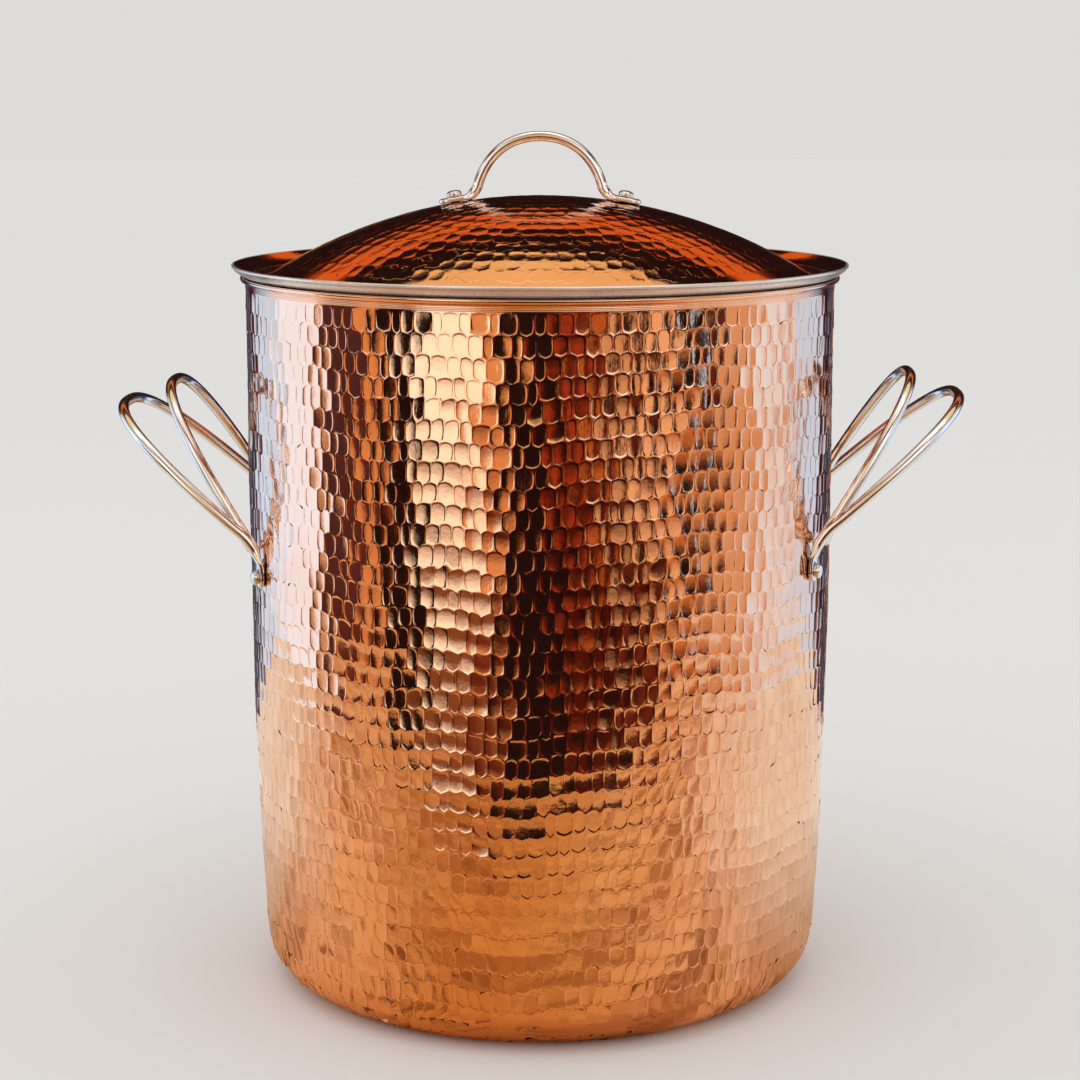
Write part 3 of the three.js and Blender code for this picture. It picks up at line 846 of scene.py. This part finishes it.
ROD_RADIUS = 2.35 * MM
LID_ROD_SIDES = 28
# From the tip of a foot to where the rod bends up, and the lean of the legs.
LID_FOOT = 16.9 * MM
LEG_LEAN = math.radians(15)
# Control points of the arch: up the leg at its start and pull, and beside the crown.
LEG_START, LEG_PULL, CROWN_PULL = 3 * MM, 16 * MM, 17 * MM


def lid_handle_corners(tip, root, root_z, crown):
    """Points along the handle's middle, from the right foot's tip over the arch to the left one's."""
    lean = np.array([-math.sin(LEG_LEAN), math.cos(LEG_LEAN)])
    leg = np.array([root, root_z])
    knots = np.array([leg + LEG_START * lean, leg + LEG_PULL * lean, (CROWN_PULL, crown), (0, crown)])
    t = np.linspace(0, 1, 20)[:, None]
    arch = np.hstack([(1 - t) ** 3, 3 * t * (1 - t) ** 2, 3 * t * t * (1 - t), t**3]) @ knots
    x = np.linspace(tip, root + 2.4 * MM, 9)
    rounder = np.clip(1 - (x - root) / (8 * MM), 0, None) ** 2
    z = dome_height(x) + SEAT_GAP + FOOT_HALF_THICK + (ROD_RADIUS - FOOT_HALF_THICK) * rounder
    half = np.vstack([np.column_stack([x, z]), arch])
    return np.insert(np.vstack([half, half[-2::-1] * (-1, 1)]), 1, 0, axis=1)


def lid_handle():
    """A round rod bent to an arch, with flattened feet that follow the dome."""
    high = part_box("lid_handle")[1]
    root = high.x - LID_FOOT
    root_z = dome_height(root) + SEAT_GAP + ROD_RADIUS
    path = smooth_path(lid_handle_corners(high.x, root, root_z, high.z - ROD_RADIUS), 300)
    x = np.abs(path[:, 0])
    in_foot = path[:, 2] < root_z + 1.5 * MM
    flat = np.where(in_foot, soft_step(x, root + 0.5 * MM, root + 5.5 * MM), 0)
    tip = {"squarer": 0.45, "blunt": 0.02, "edge": 0.55, "soft": 0.8 * MM}
    outlines = flattened(ROD_RADIUS, flat, high.x - x, LID_ROD_SIDES, **tip)
    side = np.tile([0.0, 1.0, 0.0], (len(path), 1))
    rod = bar("lid_rod_handle", path, outlines, side, np.cross(directions(path), side), steel)
    fit_in(rod, "lid_handle", "lid")


# ----- Fasteners -----

BOLT_RADIUS = 2.0 * MM
HEAD_RADIUS = 3.5 * MM
HEAD_HEIGHT = 3.0 * MM
HEAD_EDGE = 1.5 * MM
HOLE_RADIUS = 2.3 * MM
WASHER_RADIUS = 5.0 * MM
WASHER_THICK = 1.0 * MM
NUT_CORNER = 4.05 * MM
NUT_HEIGHT = 3.2 * MM
NUT_DOME = 3.3 * MM
NUT_BORE = 4.6 * MM
SHANK_PAST = 4.0 * MM
FASTENER_GAP = 0.3 * MM
TURNED_SIDES = 40
NUT_SIDES = 48
# From the tip of the lid handle's foot to the middle of its bolt.
LID_BOLT_FROM_TIP = 7.5 * MM


def turned(name, outline, place):
    """A solid turned from (radius, height) points: closed across the axis or, off it, round its hole."""
    off_axis = [p for p in outline if p[0] > 0]
    quads = [tuple(q) for q in ring_quads(len(off_axis), TURNED_SIDES)]
    first = np.arange(TURNED_SIDES)
    last = first + (len(off_axis) - 1) * TURNED_SIDES
    if len(off_axis) < len(outline):
        ends = [tuple(first[::-1]), tuple(last)]
    else:
        ends = list(zip(last, np.roll(last, -1), np.roll(first, -1), first))
    points = rings(off_axis, turns(TURNED_SIDES)).reshape(-1, 3)
    return new_object(name, carried(points, place), quads + ends, [bolt_steel])


def bolt_outline(shank):
    soft = 0.3 * MM
    out = [(0, -shank), (BOLT_RADIUS - soft, -shank), (BOLT_RADIUS, -shank + soft), (BOLT_RADIUS, soft)]
    out += [(HEAD_RADIUS - 0.25 * MM, soft), (HEAD_RADIUS, 0.5 * MM), (HEAD_RADIUS, HEAD_EDGE)]
    rise = HEAD_HEIGHT - HEAD_EDGE
    for t in np.linspace(0, math.pi / 2, 9)[1:-1]:
        out.append((HEAD_RADIUS * math.cos(t) ** 0.8, HEAD_EDGE + rise * math.sin(t)))
    return out + [(0, HEAD_HEIGHT)]


def washer_outline():
    inner, outer, thick, soft = HOLE_RADIUS, WASHER_RADIUS, WASHER_THICK, 0.2 * MM
    bottom = [(inner, -thick), (outer - soft, -thick), (outer, -thick + soft)]
    return bottom + [(outer, -soft), (outer - soft, 0), (inner, 0)]


def cap_nut(name, place):
    """A hexagonal nut with chamfered corners and a domed, closed end."""
    a = turns(NUT_SIDES)
    half = math.pi / 6
    hexagon = NUT_CORNER * math.cos(half) / np.cos((a + half) % (math.pi / 3) - half)
    section = [(HOLE_RADIUS, -NUT_BORE), (HOLE_RADIUS, 0)]
    section += [(np.minimum(hexagon, 3.75 * MM), 0), (np.minimum(hexagon, 3.95 * MM), -0.3 * MM)]
    section += [(hexagon, -0.5 * MM), (hexagon, -NUT_HEIGHT + 0.4 * MM)]
    section += [(np.minimum(hexagon, 3.6 * MM), -NUT_HEIGHT)]
    step = 0.2 * MM
    for t in np.linspace(0, math.pi / 2, 8)[:-1]:
        section.append((NUT_DOME * math.cos(t), -NUT_HEIGHT - step - (NUT_DOME - step) * math.sin(t)))
    points = carried(rings(section, a).reshape(-1, 3), place)
    nut = new_object(name, points, capped_faces(len(section), NUT_SIDES), [bolt_steel])
    nut.modifiers.new("edges", "EDGE_SPLIT").split_angle = math.radians(38)
    return nut


def raised(height):
    return Matrix.Translation((0, 0, height))


def fastener(mount, face_to_inside, place, body):
    """The three pieces of one fastener. place carries the bolt, whose head stands on the clamped face."""
    washer_top = -face_to_inside - FASTENER_GAP
    nut_top = washer_top - WASHER_THICK - FASTENER_GAP
    pieces = {
        "bolt": turned(f"{mount}_bolt_head", bolt_outline(SHANK_PAST - nut_top), place),
        "washer": turned(f"{mount}_flat_washer", washer_outline(), place @ raised(washer_top)),
        "nut": cap_nut(f"{mount}_cap_nut", place @ raised(nut_top)),
    }
    for node, piece in pieces.items():
        fit_in(piece, f"{mount}_{node}", body)


def side_fastener(mount):
    """One of the four through the wall, square to it."""
    low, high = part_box(f"{mount}_bolt")
    centre = (low + high) / 2
    outward = Vector((centre.x, centre.y, 0)).normalized()
    up = Vector((0, 0, 1))
    basis = Matrix((up, outward.cross(up), outward)).transposed().to_4x4()
    place = Matrix.Translation(outward * FOOT_OUTER_FACE + up * centre.z) @ basis
    fastener(mount, FOOT_OUTER_FACE - (BODY_RADIUS - WALL - 0.1 * MM), place, "pot")


def lid_fastener(mount, x):
    """One of the two through the lid, square to the dome."""
    foot = SEAT_GAP + FOOT_THICKNESS
    slope = Matrix.Rotation(math.asin(x / DOME_RADIUS), 4, "Y")
    place = Matrix.Translation((x, 0, dome_height(x))) @ slope @ raised(foot)
    fastener(mount, foot + LID_SHEET, place, "lid")


def fasteners():
    for side in ("left", "right"):
        for end in ("front", "rear"):
            side_fastener(f"{side}_{end}")
    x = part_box("lid_handle")[1].x - LID_BOLT_FROM_TIP
    lid_fastener("lid_left", -x)
    lid_fastener("lid_right", x)


# ----- Stage -----

# Bearing at which the mirrored table top is darkest, and the degrees over which it pales; then the metres
# from the axis over which a painted shadow of the pot, partly the wood's own brown, fades to pale.
BOARD_BEARING = -10.0
BOARD_FADE = (58, 92)
POT_SHADOW_REACH = (0.15, 0.36)
# The mirrored part of the floor ends just in front of the object. The rest lies a hair lower.
NEAR_FLOOR = (-0.72, 0.75, -0.455, 0.43, -0.2 * MM)
FAR_FLOOR = (-12, 12, -12, 12, -0.25 * MM)


def floor_material():
    """Plain and pale to the eye; warmer and streaked like a table top in what the copper mirrors, with a
    painted shadow of the pot round its foot.
    """
    n = Nodes("pale_floor")
    here = n.position()
    x, y, _ = n.separate(here)
    plain = n.mix(n.noise(here, 3, 4, 0.5), (0.765, 0.76, 0.75), (0.785, 0.78, 0.77))
    aside = n.math("ABSOLUTE", n.plus(n.bearing(x, y), -BOARD_BEARING))
    distance = n.math("SQRT", n.plus(n.math("POWER", x, 2.0), n.math("POWER", y, 2.0)))
    board = n.mix(n.span(aside, 15, 62), (0.73, 0.355, 0.10), (0.90, 0.58, 0.31))
    # Painted shadow: toward the sides the mirrored top turns darker and browner near the pot, partly the
    # wood's own brown.
    pale_and_painted_shadow = n.mix(n.span(distance, *POT_SHADOW_REACH), (0.66, 0.47, 0.30), (0.95, 0.96, 0.90))
    board = n.mix(n.span(aside, *BOARD_FADE), board, pale_and_painted_shadow)
    strength = n.span(aside, *BOARD_FADE, 1.0, 0.3)
    broad = n.noise(n.position((0.6, 4, 1)), 4, 3, 0.6, 0.3)
    board = n.mix(n.times(n.span(broad, 0.46, 0.60, 0.0, 0.75), strength), board, (0.36, 0.13, 0.04))
    streak = n.noise(n.position((1.0, 12, 1)), 7, 5, 0.75, 0.5)
    board = n.mix(n.times(n.span(streak, 0.52, 0.62), strength), board, (0.22, 0.08, 0.03))
    n.set(Base_Color=n.mix(n.ray("Glossy"), plain, board), Roughness=0.8, Specular_IOR_Level=0.0)
    return n.material


def stage():
    material = floor_material()
    for name, (x0, x1, y0, y1, z) in (("floor_near", NEAR_FLOOR), ("floor_far", FAR_FLOOR)):
        corners = [(x0, y0, z), (x1, y0, z), (x1, y1, z), (x0, y1, z)]
        plane = new_object(name, corners, [(0, 1, 2, 3)], [material])
        plane.visible_glossy = name == "floor_near"


# The brightest that a mirrored panel may be, with white as 1.
PEAK = 2.0


class WorldNodes(Nodes):
    """The same writer, on the world's node tree."""

    def __init__(self, name):
        world = bpy.data.worlds.new(name)
        bpy.context.scene.world = world
        world.use_nodes = True
        self.tree = world.node_tree
        self.tree.nodes.clear()

    def bright_ramp(self, value, panels, low=-180, high=180):
        """A ramp over low..high degrees, whose colours may be up to PEAK times white."""
        stops = [(at, tuple(c / PEAK for c in colour)) for colour, *ats in panels for at in ats]
        return self.ramp(self.span(value, low, high), [((at - low) / (high - low), c) for at, c in stops])

    def background(self, colour, strength=1.0):
        return self.node("Background", {"Color": colour, "Strength": strength})

    def choose(self, ray_kind, others, chosen):
        """One shader for one kind of ray, and another for the others."""
        return self.node("MixShader", {0: self.ray(ray_kind), 1: others, 2: chosen})


EDGE = (0.080, 0.088, 0.130)
DARK = (0.016, 0.006, 0.005)
PURPLE_BROWN = (0.075, 0.028, 0.030)
DEEP_RED = (0.09, 0.009, 0.005)
CRIMSON = (0.40, 0.055, 0.016)
RED_BROWN = (0.16, 0.028, 0.012)
AMBER = (0.62, 0.17, 0.035)
ORANGE = (0.80, 0.36, 0.13)
TAN = (0.72, 0.40, 0.20)
LIT_TAN = (0.92, 0.54, 0.29)
CREAM = (1.38, 1.32, 1.12)
FADED_CREAM = (0.24, 0.08, 0.028)
WHITE = (1.00, 1.27, 1.64)
SOFT_WHITE = (0.86, 1.04, 1.27)
COOL_WHITE = (0.65, 0.95, 1.36)
ZENITH = (1.9, 1.9, 1.85)

# Each panel is a colour and the degrees it holds between, or one peak. These are bearings.
LEFT_PANELS = [
    (EDGE, -180), (PURPLE_BROWN, -171), (EDGE, -167, -156), (DARK, -151), (RED_BROWN, -145),
    (COOL_WHITE, -140, -121), (WHITE, -114, -95), (TAN, -91), (PURPLE_BROWN, -88, -73),
    (ORANGE, -70, -63), (DARK, -60, -47), (CREAM, -44, -24), (ORANGE, -20, -12), (DARK, -8, 0),
]
RIGHT_PANELS = [
    (DARK, 0, 5), (DEEP_RED, 8), (CRIMSON, 12), (DARK, 19), (AMBER, 22), (DEEP_RED, 25), (DARK, 28),
    (TAN, 30, 36), (DARK, 38, 43), (LIT_TAN, 45, 54), (DARK, 56, 62), (WHITE, 63), (DARK, 64),
    (RED_BROWN, 70), (DARK, 73), (TAN, 77, 91), (SOFT_WHITE, 97, 108), (TAN, 113),
    (COOL_WHITE, 118, 138), (RED_BROWN, 144), (DARK, 149), (EDGE, 155),
]
LOW_PANELS = [
    (EDGE, -180, -154), (DARK, -148), (COOL_WHITE, -141), (WHITE, -118, -96), (TAN, -91),
    (PURPLE_BROWN, -87), (RED_BROWN, -71), (ORANGE, -67), (RED_BROWN, -62), (DARK, -58, -46),
    (FADED_CREAM, -41, -25), (RED_BROWN, -18), (DARK, -9, 14), (DEEP_RED, 20), (DARK, 32),
    (DEEP_RED, 36), (RED_BROWN, 41), (DARK, 46), (AMBER, 56), (ORANGE, 66), (TAN, 80),
    (SOFT_WHITE, 112), (COOL_WHITE, 138), (RED_BROWN, 146), (DARK, 151), (EDGE, 156),
]
LID_TAN = (0.94, 0.68, 0.34)
LID_AMBER = (0.74, 0.165, 0.028)
# Elevations in degrees, over the top and down the far side.
OVERHEAD = [
    (DARK, -90, 24), (RED_BROWN, 28), (LID_AMBER, 30, 37), (DARK, 38.5, 53), (LID_TAN, 54.5, 74),
    (ZENITH, 80, 90),
]
# Bearings again, above the horizon on the viewer's side.
SOFT_BOX = (1.25, 1.24, 1.22)
FRONT_ABOVE = [
    (TAN, -180), (RED_BROWN, -100), (SOFT_BOX, -92, -58), (TAN, -52), (SOFT_BOX, -42, -30),
    (LID_TAN, -22), (TAN, -8), (LID_TAN, 12), (SOFT_BOX, 26, 60), (TAN, 66), (SOFT_BOX, 72, 92),
    (TAN, 100),
]
# Elevations again, toward the left and right ends.
AT_SIDE = [
    (SOFT_BOX, -90, 10), (TAN, 13), (RED_BROWN, 17), (TAN, 21), (SOFT_BOX, 24), (TAN, 30),
    (DARK, 36, 90),
]
# Bearings to either side, straight behind the object.
BEHIND_FROM = 164.0
BEHIND = [
    (EDGE, 160, 165), (RED_BROWN, 167), (ORANGE, 170), (TAN, 173), (DARK, 175), (RED_BROWN, 177),
    (AMBER, 180),
]
# Elevations over which the low panels, the upper room and a shaded band in front blend in.
LOW_BLEND = (-7.5, -15)
UPPER_BLEND = (-1, 3)
SHADE_BAND = ((38, 42), (52, 57))
# Parts of the sphere of directions, as its y and x, over which the front and the ends blend in.
FRONT_BLEND = (0.05, -0.15)
END_BLEND = (0.70, 0.84)
# How much less x counts than y in the elevation of the overhead panels, which bows their edges.
OVERHEAD_BOW = 0.45
SOFT_LIGHT = (0.95, 0.945, 0.935)
BACKDROP = (0.723, 0.716, 0.696)


def room_around(n, bearing, height):
    """The panels that stand round the object."""
    left = n.bright_ramp(bearing, LEFT_PANELS, high=0)
    right = n.bright_ramp(bearing, RIGHT_PANELS, low=0)
    panels = n.mix(n.math("GREATER_THAN", bearing, 0.0), left, right)
    around = n.mix(n.span(height, *LOW_BLEND), panels, n.bright_ramp(bearing, LOW_PANELS))
    either_side = n.math("ABSOLUTE", bearing)
    behind = n.bright_ramp(either_side, BEHIND, low=BEHIND[0][1])
    return n.mix(n.math("GREATER_THAN", either_side, BEHIND_FROM), around, behind)


def room_above(n, x, y, z, bearing, height):
    """The panels over the object, which the lid mirrors."""
    bowed = n.times(n.times(x, x), OVERHEAD_BOW)
    beyond = n.math("SQRT", n.plus(n.times(y, y), bowed))
    over = n.times(n.math("ARCTAN2", z, beyond), 360 / TAU)
    shade = n.math("SUBTRACT", *(n.span(over, *edge) for edge in SHADE_BAND))
    front = n.mix(shade, n.bright_ramp(bearing, FRONT_ABOVE), RED_BROWN)
    above = n.mix(n.span(y, *FRONT_BLEND), n.bright_ramp(over, OVERHEAD, -90, 90), front)
    return n.mix(n.span(n.math("ABSOLUTE", x), *END_BLEND), above, n.bright_ramp(height, AT_SIDE, -90, 90))


def studio_world():
    """Soft pale studio light, with bright and dark panels round the object in what the metal mirrors."""
    n = WorldNodes("studio")
    where = n.node("TexCoord", {}, "Generated")
    x, y, z = n.separate(where)
    height = n.times(n.math("ARCSINE", z), 360 / TAU)
    wobble = n.times(n.math("SUBTRACT", n.noise(where, 7, 3, 0.6), 0.5), 9.0)
    bearing = n.plus(n.bearing(x, y), wobble)
    above = room_above(n, x, y, z, bearing, height)
    colour = n.mix(n.span(height, *UPPER_BLEND), room_around(n, bearing, height), above)
    unseen = n.choose("Glossy", n.background(SOFT_LIGHT), n.background(colour, PEAK))
    n.end("OutputWorld", n.choose("Camera", unseen, n.background(BACKDROP)))


def top_light():
    """A weak soft light from above the viewer, not mirrored, for the object's shadow on the floor."""
    light = bpy.data.lights.new("top_light", "AREA")
    light.shape = "RECTANGLE"
    light.size = light.size_y = 1.4
    light.energy = 3
    light.color = (1.0, 0.98, 0.95)
    obj = linked("top_light", light)
    obj.location = (-0.3, -0.5, 1.9)
    obj.rotation_euler = (Vector((0, 0, 0.2)) - obj.location).to_track_quat("-Z", "Y").to_euler()
    obj.visible_glossy = obj.visible_camera = False


def camera():
    distance, height = 8.503 * BODY_RADIUS, 3.104 * BODY_RADIUS
    pitch, turn = 10.59, math.radians(2.0)
    cam = bpy.data.cameras.new("camera")
    cam.lens = 82.75
    cam.sensor_width = 36
    cam.clip_start = 0.05
    obj = linked("camera", cam)
    obj.location = (distance * math.sin(turn), -distance * math.cos(turn), height)
    obj.rotation_euler = (math.radians(90 - pitch), 0, turn)
    bpy.context.scene.camera = obj


# ----- Build -----

pot_shell()
lid_shell()
side_handles()
lid_handle()
fasteners()
stage()
studio_world()
top_light()
camera()
bpy.context.scene.view_settings.view_transform = "Standard"
